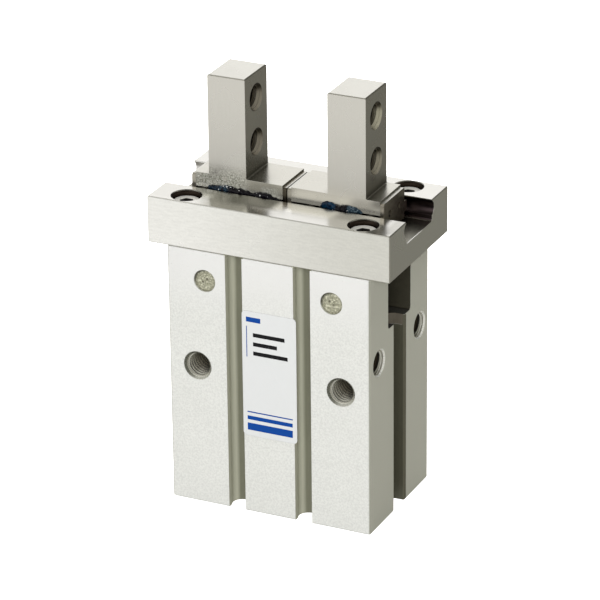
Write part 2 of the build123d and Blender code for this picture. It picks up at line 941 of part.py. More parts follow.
def main():
    """Builds every piece and writes one STEP file for each."""
    plate_places = {"inner": base_inner - plate_thickness, "outer": base_outer}
    pieces = {
        "body": body(),
        "passage_plug": passage_plug(),
        "label": label(),
        "lever_shaft_right": lever_shaft(),
        "end_cap": end_cap(),
        "end_cap_seal": oring(bore_radius - sliding_clearance, lower_clip_top + oring_cap_height),
        "end_cap_retaining_ring": eyed_ring(lower_clip_top - clip_thickness),
        "rod_cover": rod_cover(),
        "rod_cover_seal": oring(bore_radius - sliding_clearance, cover_bottom + oring_cover_height),
        "rod_cover_retaining_ring": snap_ring(cover_bottom - clip_thickness),
        "rod_seal": rod_seal(),
        "lower_bumper": ring(
            lower_bumper_bore_radius, bumper_outer_radius, cap_top, cap_top + lower_bumper_thickness
        ),
        "upper_bumper": ring(
            rod_radius + piston_clearance,
            bumper_outer_radius,
            cover_bottom - upper_bumper_thickness,
            cover_bottom,
        ),
        "piston": piston(),
        "piston_seal": piston_seal(),
        "magnet_ring": magnet_ring(),
        "piston_rod": piston_rod(),
        "piston_bolt": piston_bolt(),
        "joint_pin": joint_pin(),
        "lever_right": lever(),
        "guide": guide(),
        "guide_screws": guide_screws(),
        "guide_dowels": guide_dowels(),
        "finger_right": finger(),
        "end_plate_right_inner": end_plate(plate_places["inner"]),
        "end_plate_right_outer": end_plate(plate_places["outer"]),
        "plate_pins_right": plate_pins(),
        "balls_right": balls(),
    }
    for name in [name for name in pieces if "_right" in name]:
        pieces[name.replace("_right", "_left")] = turned_about_z(pieces[name])
    os.makedirs("parts", exist_ok=True)
    for name, shape in pieces.items():
        export_step(shape, os.path.join("parts", name + ".step"))


main()
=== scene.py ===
"""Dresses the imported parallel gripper: finishes, threads, label print, grease, light and camera."""

import json
import math

import bmesh
import bpy
from mathutils import Matrix, Vector, noise


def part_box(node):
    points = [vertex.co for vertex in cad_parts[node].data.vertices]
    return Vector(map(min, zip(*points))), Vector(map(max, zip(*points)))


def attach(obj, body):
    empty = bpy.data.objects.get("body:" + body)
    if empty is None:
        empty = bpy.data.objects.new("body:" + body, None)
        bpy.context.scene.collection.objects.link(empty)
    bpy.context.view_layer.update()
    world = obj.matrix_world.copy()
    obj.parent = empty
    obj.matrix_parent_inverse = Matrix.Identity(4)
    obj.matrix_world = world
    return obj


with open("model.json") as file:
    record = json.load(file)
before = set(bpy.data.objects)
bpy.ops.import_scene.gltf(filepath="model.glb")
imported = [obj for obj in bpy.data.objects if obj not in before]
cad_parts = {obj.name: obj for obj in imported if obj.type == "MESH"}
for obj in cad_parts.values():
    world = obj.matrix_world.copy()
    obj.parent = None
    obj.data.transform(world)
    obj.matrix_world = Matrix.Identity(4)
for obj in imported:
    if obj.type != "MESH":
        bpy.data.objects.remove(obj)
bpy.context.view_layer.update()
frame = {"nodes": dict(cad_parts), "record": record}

MM = 0.001
nodes = frame["nodes"]


def span(node):
    """A node's lowest and highest corners, in millimetres."""
    low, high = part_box(node)
    return Vector(low) / MM, Vector(high) / MM


body_low, body_high = span("body")
guide_high = span("guide")[1]
finger_low, finger_high = span("finger_right")
shaft_low, shaft_high = span("lever_shaft_right")
label_low, label_high = span("label")
screw_head_top = span("guide_screws")[1].z

# Places in millimetres that the finishes and threads need. The half widths and radii of recesses
# are a little over the solids' own, so that the walls lie inside them; the holes' mouths are exact.
front_face = body_low.y
end_face = body_high.x
groove_x = 7.05
groove_depth = 4.1
groove_half_width = 2.06
slot_half_width = 2.56
slot_depth = 3.62
slot_step = 37.1
pocket_half_width = 5.42
pocket_floor = 39.4
base_top = 64.8
plate_top = 64.4
channel_half_width = 7.2
channel_floor = guide_high.z - 4.35
guide_top = guide_high.z
screw_x = 18.25
screw_y = 10.4
counterbore_radius = 3.06
screw_socket_radius = 1.5
mounting_height = 28.9
mounting_x = 15.0
mounting_mouth = 2.95
base_hole_x = 15.0
base_hole_y = 9.0
finger_mouth = 2.75
finger_hole_heights = (finger_high.z - 5.0, finger_high.z - 14.0)
blade_inner = 8.45
blade_outer = 16.25
port_height = 34.3
port_y = 9.5
port_mouth = 2.8
pivot_x = (shaft_low.x + shaft_high.x) / 2
pivot_z = (shaft_low.z + shaft_high.z) / 2


# Node graphs


class Finish:
    """A material whose nodes are wired by short calls; places are in millimetres."""

    def __init__(self, name):
        self.material = bpy.data.materials.new(name)
        self.material.use_nodes = True
        self.tree = self.material.node_tree
        self.shader = self.tree.nodes["Principled BSDF"]
        coordinates = self.tree.nodes.new("ShaderNodeTexCoord")
        scaled = self.tree.nodes.new("ShaderNodeVectorMath")
        scaled.operation = "SCALE"
        scaled.inputs["Scale"].default_value = 1 / MM
        self.tree.links.new(coordinates.outputs["Object"], scaled.inputs[0])
        self.place = scaled.outputs[0]
        split = self.tree.nodes.new("ShaderNodeSeparateXYZ")
        self.tree.links.new(self.place, split.inputs[0])
        self.x, self.y, self.z = split.outputs

    def set(self, **values):
        """Sets sockets of the main shader, by name with underscores for spaces."""
        for name, value in values.items():
            self.feed(self.shader.inputs[name.replace("_", " ")], value)

    def feed(self, socket, value):
        """Links a socket's source, or writes a plain value."""
        if isinstance(value, bpy.types.NodeSocket):
            self.tree.links.new(value, socket)
        elif isinstance(value, tuple) and len(value) == 3 and len(socket.default_value) == 4:
            socket.default_value = (*value, 1)
        else:
            socket.default_value = value

    def math(self, operation, first, second=0.0, third=0.0):
        """One sum on numbers; the result is a socket."""
        node = self.tree.nodes.new("ShaderNodeMath")
        node.operation = operation
        for socket, value in zip(node.inputs, (first, second, third)):
            self.feed(socket, value)
        return node.outputs[0]

    def product(self, *factors):
        """All the factors multiplied."""
        total = factors[0]
        for factor in factors[1:]:
            total = self.math("MULTIPLY", total, factor)
        return total

    def offset(self, value, place=0.0):
        """How far out a coordinate is from a place on either side of the middle."""
        return self.math("SUBTRACT", self.math("ABSOLUTE", value), place)

    def distance(self, first, second):
        """The distance that two offsets at right angles make."""
        squares = self.math("ADD", self.product(first, first), self.product(second, second))
        return self.math("SQRT", squares)

    def ramp(self, value, low, high, out_low=0.0, out_high=1.0):
        """Maps low..high smoothly to out_low..out_high, and stays level outside."""
        node = self.tree.nodes.new("ShaderNodeMapRange")
        node.interpolation_type = "SMOOTHSTEP"
        for socket, number in zip(node.inputs, (value, low, high, out_low, out_high)):
            self.feed(socket, number)
        return node.outputs[0]

    def stretched(self, x=1.0, y=1.0, z=1.0):
        """The place with its axes stretched, for grain that runs one way."""
        node = self.tree.nodes.new("ShaderNodeVectorMath")
        node.operation = "MULTIPLY"
        self.feed(node.inputs[0], self.place)
        node.inputs[1].default_value = (x, y, z)
        return node.outputs[0]

    def noise(self, scale, detail=2.0, roughness=0.5, place=None, distortion=0.0):
        """Smooth noise of this many waves a millimetre, from 0 to 1."""
        node = self.tree.nodes.new("ShaderNodeTexNoise")
        self.feed(node.inputs["Vector"], place or self.place)
        node.inputs["Scale"].default_value = scale
        node.inputs["Detail"].default_value = detail
        node.inputs["Roughness"].default_value = roughness
        node.inputs["Distortion"].default_value = distortion
        return node.outputs["Fac"]

    def mix(self, factor, first, second):
        """A blend of two colours."""
        node = self.tree.nodes.new("ShaderNodeMix")
        node.data_type = "RGBA"
        self.feed(node.inputs[0], factor)
        self.feed(node.inputs[6], first)
        self.feed(node.inputs[7], second)
        return node.outputs[2]

    def tint(self, colour, value, amount):
        """A colour made lighter and darker by noise of 0..1 about its middle."""
        node = self.tree.nodes.new("ShaderNodeHueSaturation")
        self.feed(node.inputs["Color"], colour)
        gain = self.math("MULTIPLY_ADD", value, 2 * amount, 1 - amount)
        self.feed(node.inputs["Value"], gain)
        return node.outputs["Color"]

    def bump(self, height, depth, normal=None):
        """A bump of this depth in millimetres, on top of another normal."""
        node = self.tree.nodes.new("ShaderNodeBump")
        node.inputs["Distance"].default_value = depth * MM
        self.feed(node.inputs["Height"], height)
        if normal:
            self.feed(node.inputs["Normal"], normal)
        return node.outputs["Normal"]

    def soft_edges(self, radius):
        """A normal that rounds every edge by this radius."""
        node = self.tree.nodes.new("ShaderNodeBevel")
        node.samples = 6
        node.inputs["Radius"].default_value = radius * MM
        return node.outputs["Normal"]

    def edge_mask(self, radius):
        """1 on edges, and 0 a radius away from them."""
        geometry = self.tree.nodes.new("ShaderNodeNewGeometry")
        node = self.tree.nodes.new("ShaderNodeVectorMath")
        node.operation = "DOT_PRODUCT"
        self.feed(node.inputs[0], geometry.outputs["Normal"])
        self.feed(node.inputs[1], self.soft_edges(radius))
        return self.ramp(node.outputs["Value"], 0.995, 0.86)

    def crevice(self, reach):
        """1 in the open, falling towards 0 in corners nearer than the reach."""
        node = self.tree.nodes.new("ShaderNodeAmbientOcclusion")
        node.samples = 8
        node.inputs["Distance"].default_value = reach * MM
        return node.outputs["AO"]

    def near(self, value, centre, half, soft=0.05):
        """1 where the value lies within half of the centre."""
        away = self.math("ABSOLUTE", self.math("SUBTRACT", value, centre))
        return self.ramp(away, half + soft, half - soft)

    def inside_hole(self, first, second, radius, soft=0.05):
        """1 nearer than the radius to a line, given the two offsets from it."""
        return self.ramp(self.distance(first, second), radius + soft, radius - soft)


# Finishes


def anodised_finish():
    """Bead-blasted and anodised aluminium, plainer in grooves and slots, with bare hole mouths; painted
    shade in its hollows and along its edges, painted light high up and on one side of the mouths.
    """
    f = Finish("anodised_aluminium")
    fine = f.noise(2.7, 3, 0.7)
    pits = f.ramp(f.noise(3.1, 2, 0.6), 0.34, 0.24)
    broad = f.noise(0.12, 2)
    # Painted light: the faces are painted lighter towards the top.
    lit_high_up = f.ramp(f.z, 38, 52)
    from_front = f.math("SUBTRACT", -front_face, f.math("ABSOLUTE", f.y))
    face_colour = f.tint((0.745, 0.752, 0.725), f.ramp(fine, 0.3, 0.7), 0.09)
    face_colour = f.tint(f.mix(lit_high_up, face_colour, (0.79, 0.79, 0.78)), broad, 0.03)
    face_colour = f.mix(f.product(pits, 0.3), face_colour, (0.45, 0.45, 0.41))
    from_end = f.math("SUBTRACT", end_face, f.math("ABSOLUTE", f.x))
    # Painted shade: the end faces are painted darker and warmer than the front.
    on_end = f.ramp(from_end, 0.3, 0.05)
    face_colour = f.mix(on_end, face_colour, f.tint((0.71, 0.71, 0.625), fine, 0.02))
    # Painted shade: a dark band on the slots' far lips.
    slot_lip = f.product(
        f.near(f.y, 2.72, 0.36), f.ramp(from_end, 0.7, 0.5),
        f.ramp(f.z, slot_step + 2.3, slot_step + 2.2),
    )
    face_colour = f.mix(slot_lip, face_colour, (0.13, 0.125, 0.09))
    # Painted shade: a dark line down the rounded corners between the front and the ends.
    corner = f.product(f.ramp(from_end, 0.3, 0.15), f.ramp(from_front, 0.4, 0.2))
    face_colour = f.mix(f.product(corner, 0.8), face_colour, (0.36, 0.36, 0.3))
    # Painted shade: a dark line along the bottom edge.
    foot = f.ramp(f.z, 0.22, 0.08)
    face_colour = f.mix(f.product(foot, 0.55), face_colour, (0.3, 0.3, 0.25))
    groove_offset = f.offset(f.x, groove_x)
    in_groove = f.product(
        f.near(groove_offset, 0, groove_half_width),
        f.ramp(from_front, 0.02, 0.1),
        f.ramp(from_front, groove_depth + 0.1, groove_depth),
    )
    slot_sides = f.product(
        f.near(f.y, 0, slot_half_width), f.ramp(from_end, 0.3, 0.5),
        f.ramp(from_end, slot_depth + 0.1, slot_depth),
    )
    in_slot = f.product(slot_sides, f.ramp(f.z, slot_step + 0.15, slot_step))
    above_slot = f.product(
        slot_sides, f.ramp(f.z, slot_step, slot_step + 0.15),
        f.ramp(f.z, pocket_floor + 0.1, pocket_floor),
    )
    in_pocket = f.product(
        f.near(f.y, 0, pocket_half_width), f.ramp(f.z, pocket_floor - 0.05, pocket_floor + 0.02),
        f.ramp(from_end, 0.02, 0.15),
    )
    # Painted shade: a dark line along the top, under the guide.
    shade_under_guide = f.ramp(f.z, body_high.z - 0.12, body_high.z - 0.02)
    across = f.offset(f.x, mounting_x)
    up = f.math("SUBTRACT", f.z, mounting_height)
    in_mouth = f.product(
        f.inside_hole(across, up, mounting_mouth),
        f.ramp(from_front, 0.02, 0.06), f.ramp(from_front, 0.8, 0.6),
    )
    in_port = f.product(
        f.inside_hole(f.offset(f.y, port_y), f.math("SUBTRACT", f.z, port_height), port_mouth),
        f.ramp(from_end, 0.02, 0.06), f.ramp(from_end, 0.8, 0.6),
    )
    bare = f.math("MAXIMUM", in_mouth, in_port)
    streaks = f.noise(1.2, 3, 0.6, f.stretched(3, 3, 0.12))
    # The grooves are a plainer olive, with painted light on their left walls and painted shade on their
    # floors.
    across_groove = f.product(f.math("SIGN", f.x), groove_offset)
    groove_colour = f.mix(f.ramp(across_groove, -1.75, -1.05), (0.56, 0.56, 0.45), (0.23, 0.23, 0.17))
    colour = f.mix(in_groove, face_colour, f.tint(groove_colour, streaks, 0.12))
    # Painted shade, over a plainer olive surface: the slots, the wall above them and the pocket are
    # painted near black, and the pocket's floor is darkest.
    colour = f.mix(in_slot, colour, f.tint((0.075, 0.073, 0.05), streaks, 0.15))
    colour = f.mix(above_slot, colour, f.tint((0.13, 0.115, 0.088), streaks, 0.15))
    colour = f.mix(in_pocket, colour, f.tint((0.042, 0.039, 0.027), f.noise(0.9, 3), 0.25))
    colour = f.mix(f.product(in_pocket, f.near(f.z, pocket_floor, 0.1)), colour, (0.02, 0.018, 0.013))
    colour = f.mix(f.product(shade_under_guide, 0.6), colour, (0.25, 0.245, 0.21))
    lit_side = f.math("SUBTRACT", f.product(f.math("SIGN", f.x), across), up)
    mouth_colour = f.mix(f.ramp(lit_side, -1.0, 3.0), (0.34, 0.35, 0.31), (0.78, 0.78, 0.72))
    colour = f.mix(in_mouth, colour, mouth_colour)
    colour = f.mix(in_port, colour, (0.95, 0.95, 0.9))
    drawn = f.math("MAXIMUM", in_groove, f.math("MAXIMUM", slot_sides, in_pocket))
    bare_metal = f.math("MAXIMUM", in_mouth, f.product(in_port, 0.6))
    metal = f.math("MAXIMUM", f.ramp(drawn, 0, 1, 0.5, 0.2), bare_metal)
    f.set(Base_Color=colour, Metallic=metal)
    f.set(Roughness=f.math("SUBTRACT", f.ramp(fine, 0.2, 0.8, 0.42, 0.56), f.product(bare, 0.2)))
    texture = f.product(f.math("SUBTRACT", fine, pits), f.ramp(bare, 0, 1, 1.0, 0.1))
    f.set(Normal=f.bump(texture, 0.014, f.soft_edges(0.06)))
    return f.material


def guide_finish():
    """Ground steel: pale flanks with a painted light gradient, a smooth top with painted reflections as
    light and dark patches, and hollows painted dark as oil and painted shade.
    """
    f = Finish("ground_steel")
    lines = f.noise(1.0, 3, 0.6, f.stretched(0.25, 4, 4))
    speckle = f.noise(2.2, 3, 0.65)
    streaks = f.noise(1.0, 3, 0.65, f.stretched(0.5, 2.4, 2.4))
    pits = f.ramp(f.noise(2.6, 2, 0.6), 0.3, 0.22)
    broad = f.noise(0.09, 2)
    on_top = f.ramp(f.z, guide_top - 0.03, guide_top - 0.005)
    # Painted light: the flanks are painted paler on the left and darker on the right, and the end face
    # is painted paler.
    flank = f.mix(f.ramp(f.x, -24, 24), (0.88, 0.875, 0.835), (0.68, 0.675, 0.62))
    flank = f.tint(f.tint(flank, f.ramp(speckle, 0.25, 0.75), 0.03), f.ramp(streaks, 0.3, 0.7), 0.035)
    on_end = f.ramp(f.x, guide_high.x - 0.1, guide_high.x - 0.02)
    flank = f.mix(on_end, flank, (0.92, 0.915, 0.86))
    # Painted reflection: the top is painted darker beside the left finger, as a dark reflection.
    on_front_side = f.ramp(f.y, 0, -3)
    dark_reflection_side = f.product(f.near(f.x, -8.0, 6.0, 1.5), on_front_side)
    top_colour = f.mix(dark_reflection_side, (0.63, 0.62, 0.59), (0.44, 0.43, 0.385))
    # Painted reflections: lighter and darker patches on the front of the top.
    reflection_patches = (
        (f.near(f.x, -5.0, 5.0, 1.5), f.ramp(f.y, -11.5, -9.5), (0.24, 0.235, 0.2)),
        (f.near(f.x, -14.6, 1.2, 1.0), f.near(f.y, -9.1, 0.9, 0.7), (0.9, 0.885, 0.83)),
        (f.near(f.x, -3.0, 1.8, 0.8), f.ramp(f.y, -10.0, -11.3), (0.9, 0.885, 0.83)),
        (f.near(f.x, 5.5, 6.0, 1.0), f.near(f.y, -8.4, 1.6, 0.9), (0.86, 0.845, 0.79)),
        (f.near(f.x, 14.5, 2.5, 1.2), f.ramp(f.y, -10.5, -8.5), (0.45, 0.44, 0.41)),
        (f.ramp(f.x, 22.4, 23.6), f.ramp(f.y, -13.2, -12.0), (0.47, 0.46, 0.43)),
        (f.ramp(f.x, -19.0, -21.0), f.ramp(f.y, -13.2, -12.0), (0.6, 0.59, 0.56)),
    )
    for along, across, patch_colour in reflection_patches:
        top_colour = f.mix(f.product(along, across, on_front_side), top_colour, patch_colour)
    colour = f.mix(on_top, flank, f.tint(top_colour, lines, 0.06))
    # Painted reflection: a dark line along the top's edges.
    dark_edge_reflection = f.product(f.edge_mask(0.12), f.ramp(f.z, guide_top - 0.3, guide_top - 0.2))
    colour = f.mix(dark_edge_reflection, colour, (0.05, 0.049, 0.042))
    colour = f.mix(f.product(pits, 0.25), colour, (0.3, 0.29, 0.26))
    below = f.ramp(f.z, guide_top - 0.03, guide_top - 0.3)
    from_end = f.math("SUBTRACT", guide_high.x, f.math("ABSOLUTE", f.x))
    above_floor = f.ramp(f.z, channel_floor - 0.2, channel_floor - 0.1)
    inside = f.product(below, f.ramp(from_end, 0.02, 0.1), above_floor)
    fading_left = f.ramp(f.x, -23.5, -20.5, 0.35, 1.0)
    in_channel = f.product(f.near(f.y, 0, channel_half_width), inside, fading_left)
    on_floor = f.product(
        f.near(f.z, channel_floor, 0.12), f.near(f.y, 0, 6.0), f.ramp(from_end, 0.02, 0.1),
    )
    # Painted highlight: a pale, matt line where the channel's floor meets its ends.
    lip = f.product(
        f.near(f.z, channel_floor, 0.09), f.ramp(from_end, 0.16, 0.05),
        f.ramp(f.y, 3.0, -1.0), f.ramp(f.y, -6.0, -5.6),
    )
    in_counterbore = f.inside_hole(f.offset(f.x, screw_x), f.offset(f.y, screw_y), counterbore_radius)
    in_counterbore = f.product(in_counterbore, below)
    oil_and_shade_mottle = f.noise(0.8, 3)
    # Painted shade, partly oil: the channel and the counterbores are painted near black, and the
    # channel's floor a dark grey.
    colour = f.mix(in_channel, colour, f.tint((0.072, 0.053, 0.056), oil_and_shade_mottle, 0.3))
    colour = f.mix(on_floor, colour, f.tint((0.31, 0.3, 0.255), f.noise(1.6, 4, 0.7), 0.35))
    colour = f.mix(in_counterbore, colour, f.tint((0.05, 0.037, 0.03), oil_and_shade_mottle, 0.3))
    colour = f.mix(lip, colour, (0.85, 0.85, 0.82))
    roughness = f.math("ADD", f.ramp(broad, 0.3, 0.7, 0.17, 0.23), f.ramp(on_top, 0, 1, 0.1, 0.0))
    f.set(Base_Color=colour, Metallic=f.ramp(lip, 0, 1, 1.0, 0.2), Roughness=roughness)
    ridges = f.product(lines, f.ramp(on_top, 0, 1, 0.2, 1.0))
    f.set(Normal=f.bump(f.math("ADD", ridges, speckle), 0.002, f.soft_edges(0.1)))
    return f.material


def from_blade_hole(f):
    """The heights from a blade's nearer hole: outwards from the blade's middle, and upwards."""
    middle = sum(finger_hole_heights) / 2
    half_pitch = finger_hole_heights[0] - middle
    above_middle = f.math("SUBTRACT", f.z, middle)
    outwards = f.offset(above_middle, half_pitch)
    return outwards, f.product(f.math("SIGN", above_middle), outwards)


def lit_hole_colour(f):
    """The colour painted on the lit side of the blades' holes, as light falling in, palest high on the
    right finger.
    """
    pale = f.product(f.ramp(f.x, -1, 1), f.ramp(f.z, finger_high.z - 11, finger_high.z - 8, 0.25, 1.0))
    return f.mix(pale, (0.2, 0.18, 0.14), (0.38, 0.36, 0.27))


def finger_finish():
    """Ground stainless steel, with grime low on the left finger's front, and holes painted darker on
    one side as shade and lighter on the other as light.
    """
    f = Finish("finger_steel")
    lines = f.noise(1.0, 3, 0.6, f.stretched(4, 4, 0.3))
    speckle = f.noise(2.2, 3, 0.6)
    pits = f.ramp(f.noise(1.9, 2, 0.6), 0.27, 0.2)
    broad = f.noise(0.16, 3)
    colour = f.tint((0.585, 0.57, 0.52), lines, 0.04)
    colour = f.tint(colour, broad, 0.05)
    # Painted light: lighter towards the top of the blades.
    colour = f.tint(colour, f.ramp(f.z, base_top + 1, finger_high.z - 2), 0.07)
    colour = f.mix(f.product(pits, 0.4), colour, (0.2, 0.19, 0.16))
    on_front = f.ramp(f.y, finger_low.y + 0.12, finger_low.y + 0.04)
    base_front = f.product(on_front, f.ramp(f.z, base_top, base_top - 0.2))
    colour = f.mix(f.product(base_front, 0.25), colour, (0.4, 0.385, 0.34))
    # Painted shade: a dark, matt strip low on the front, just above the guide.
    low_strip = f.product(on_front, f.ramp(f.z, guide_top + 0.75, guide_top + 0.15))
    colour = f.mix(low_strip, colour, (0.31, 0.3, 0.26))
    on_blade_top = f.ramp(f.z, finger_high.z - 0.1, finger_high.z - 0.02)
    colour = f.mix(on_blade_top, colour, f.tint((0.56, 0.55, 0.51), speckle, 0.03))
    left_part = f.product(f.ramp(f.x, -7.0, -10.0), f.ramp(f.z, guide_top + 5.5, guide_top + 2.0))
    right_part = f.near(f.x, -3.4, 1.8, 0.8)
    right_part = f.product(right_part, f.ramp(f.z, guide_top + 1.9, guide_top + 1.4), 0.7)
    blotches = f.ramp(f.noise(0.7, 4, 0.7), 0.3, 0.52)
    grime = f.product(on_front, f.math("MAXIMUM", left_part, right_part), blotches)
    grains = f.ramp(f.noise(3.2, 3, 0.75), 0.38, 0.62)
    dirt_and_glints = f.mix(grains, (0.13, 0.13, 0.1), (0.54, 0.54, 0.48))
    # Painted highlights: white glints on the wet grime.
    glint_specks = f.ramp(f.noise(3.6, 1), 0.64, 0.7)
    dirt_and_glints = f.mix(f.product(glint_specks, 0.8), dirt_and_glints, (0.92, 0.92, 0.88))
    colour = f.mix(f.product(grime, 0.9), colour, dirt_and_glints)
    outwards, upwards = from_blade_hole(f)
    along = f.offset(f.x)
    in_hole = f.product(
        f.inside_hole(f.y, outwards, finger_mouth),
        f.ramp(along, blade_outer - 0.01, blade_outer - 0.05),
        f.ramp(along, blade_inner + 0.01, blade_inner + 0.05),
    )
    # Painted light and shade: the holes' mouths are painted dark on one side and lighter on the other.
    hole_lit_side = f.ramp(f.math("SUBTRACT", f.y, upwards), 0.0, 3.0)
    colour = f.mix(in_hole, colour, f.mix(hole_lit_side, (0.045, 0.038, 0.026), lit_hole_colour(f)))
    matt = f.math("MAXIMUM", low_strip, f.product(in_hole, hole_lit_side))
    # Painted shade: darker in the corners at the blades' foot.
    corner_shade = f.ramp(f.crevice(2.0), 0.95, 0.45)
    corner_shade = f.product(corner_shade, f.ramp(f.z, base_top - 0.05, base_top + 0.05))
    colour = f.mix(corner_shade, colour, (0.2, 0.19, 0.16))
    metal = f.math("SUBTRACT", f.ramp(grime, 0, 1, 1.0, 0.6), f.product(matt, 0.6))
    f.set(Base_Color=colour, Metallic=metal)
    f.set(Roughness=f.math("ADD", f.ramp(broad, 0.3, 0.7, 0.24, 0.32), f.product(grime, 0.15)))
    ground = f.math("MULTIPLY_ADD", speckle, 0.25, f.product(lines, 0.25))
    relief = f.math("MULTIPLY_ADD", grime, grains, ground)
    f.set(Normal=f.bump(relief, 0.008, f.soft_edges(0.06)))
    return f.material


def steel_finish(name, colour, roughness, grain=2.0, amount=0.12, depth=0.004):
    """A plain steel with a little grain and painted highlights on its edges, for the parts that barely
    show.
    """
    f = Finish(name)
    speckle = f.noise(grain, 4, 0.65)
    broad = f.noise(0.3, 3)
    shade = f.tint(f.tint(colour, speckle, amount), broad, amount)
    # Painted highlight: lighter along the edges.
    shade = f.mix(f.product(f.edge_mask(0.08), 0.4), shade, (0.8, 0.79, 0.76))
    f.set(Base_Color=shade, Metallic=1.0)
    f.set(Roughness=f.ramp(speckle, 0.2, 0.8, roughness, roughness + 0.12))
    f.set(Normal=f.bump(speckle, depth, f.soft_edges(0.06)))
    return f.material


def screw_finish():
    """The guide's socket screws: pale, slightly oily heads, with their sides and sockets painted dark
    as shade.
    """
    f = Finish("screw_head")
    speckle = f.noise(3.0, 4, 0.65)
    # Painted shade: the sockets are painted near black.
    in_socket = f.product(
        f.inside_hole(f.offset(f.x, screw_x), f.offset(f.y, screw_y), screw_socket_radius),
        f.ramp(f.z, screw_head_top - 0.03, screw_head_top - 0.15),
    )
    # Painted shade: the heads' sides, below the top, are painted dark.
    on_head = f.ramp(f.z, screw_head_top - 0.4, screw_head_top - 0.3)
    colour = f.mix(on_head, (0.3, 0.28, 0.24), (0.66, 0.65, 0.61))
    colour = f.mix(in_socket, f.tint(colour, speckle, 0.12), (0.012, 0.01, 0.009))
    f.set(Base_Color=colour, Metallic=f.ramp(in_socket, 0, 1, 0.45, 0.0))
    f.set(Roughness=f.ramp(speckle, 0.2, 0.8, 0.32, 0.44))
    f.set(Normal=f.bump(speckle, 0.004, f.soft_edges(0.08)))
    return f.material


def plate_finish():
    """The finger's end plates: oily and dark, with their tops painted brighter as a highlight and the
    inner left plate's top painted dark as shade.
    """
    f = Finish("plate_steel")
    speckle = f.noise(1.6, 4, 0.65)
    rubbed = f.math("MAXIMUM", f.near(f.x, 0.5, 0.5, 0.05), f.ramp(f.x, -18.9, -19.1))
    rubbed = f.product(rubbed, f.ramp(f.y, -4.6, -4.8))
    smudge = f.inside_hole(f.math("ADD", f.y, 2.1), f.math("SUBTRACT", f.z, 61.4), 0.45, 0.2)
    smudge = f.product(smudge, f.ramp(f.x, 19, 19.5))
    colour = f.mix(rubbed, (0.48, 0.45, 0.38), (0.52, 0.5, 0.44))
    colour = f.mix(smudge, colour, (0.01, 0.01, 0.012))
    # Painted highlight: the tops are painted lighter, except the inner left plate's.
    off_inner_left = f.ramp(f.offset(f.math("ADD", f.x, 0.7)), 0.25, 0.3)
    on_top = f.product(f.ramp(f.z, plate_top - 0.06, plate_top - 0.01), off_inner_left)
    colour = f.mix(on_top, colour, (0.6, 0.59, 0.55))
    # Painted shade: the inner left plate's top is painted dark.
    inner_left = f.near(f.x, -0.5, 0.5, 0.05)
    inner_left = f.product(inner_left, f.ramp(f.z, plate_top - 0.01, plate_top - 0.06))
    colour = f.mix(inner_left, colour, (0.12, 0.105, 0.08))
    f.set(Base_Color=f.tint(colour, speckle, 0.2), Metallic=1.0)
    f.set(Roughness=f.ramp(speckle, 0.2, 0.8, 0.3, 0.42))
    f.set(Normal=f.bump(speckle, 0.004, f.soft_edges(0.05)))
    return f.material


def shaft_finish():
    """The lever shafts: greenish-grey ends, dimpled where they were staked."""
    f = Finish("shaft_steel")
    grain = f.noise(3.6, 3, 0.75)
    spots = f.ramp(f.noise(2.2, 3, 0.7, f.stretched(1, 0.2, 1)), 0.38, 0.6)
    across = f.offset(f.x, pivot_x)
    up = f.math("SUBTRACT", f.z, pivot_z)
    radius = f.distance(across, up)
    rim = f.ramp(radius, 1.75, 2.15)
    left_dimple = f.inside_hole(f.math("ADD", across, 0.45), f.math("SUBTRACT", up, 0.25), 0.26, 0.18)
    right_dimple = f.inside_hole(f.math("SUBTRACT", across, 0.4), f.math("ADD", up, 0.35), 0.24, 0.18)
    dimples = f.math("MAXIMUM", left_dimple, right_dimple)
    colour = f.mix(spots, (0.4, 0.395, 0.28), (0.72, 0.71, 0.56))
    colour = f.tint(colour, f.ramp(grain, 0.3, 0.7), 0.2)
    # Painted shade: a dark ring round the rim. The dimples are painted darker.
    colour = f.mix(f.product(dimples, 0.7), colour, (0.12, 0.11, 0.07))
    colour = f.mix(f.product(rim, 0.55), colour, (0.22, 0.215, 0.15))
    signed = f.product(f.math("SIGN", f.x), across)
    shaded = f.product(f.ramp(radius, 1.6, 2.0), f.ramp(f.math("SUBTRACT", up, signed), 0.8, 2.4))
    colour = f.mix(f.product(shaded, 0.75), colour, (0.1, 0.1, 0.08))
    f.set(Base_Color=colour, Metallic=0.6, Roughness=0.45)
    height = f.math("SUBTRACT", f.math("MULTIPLY_ADD", grain, 0.5, spots), f.math("ADD", dimples, rim))
    f.set(Normal=f.bump(height, 0.12, f.soft_edges(0.1)))
    return f.material


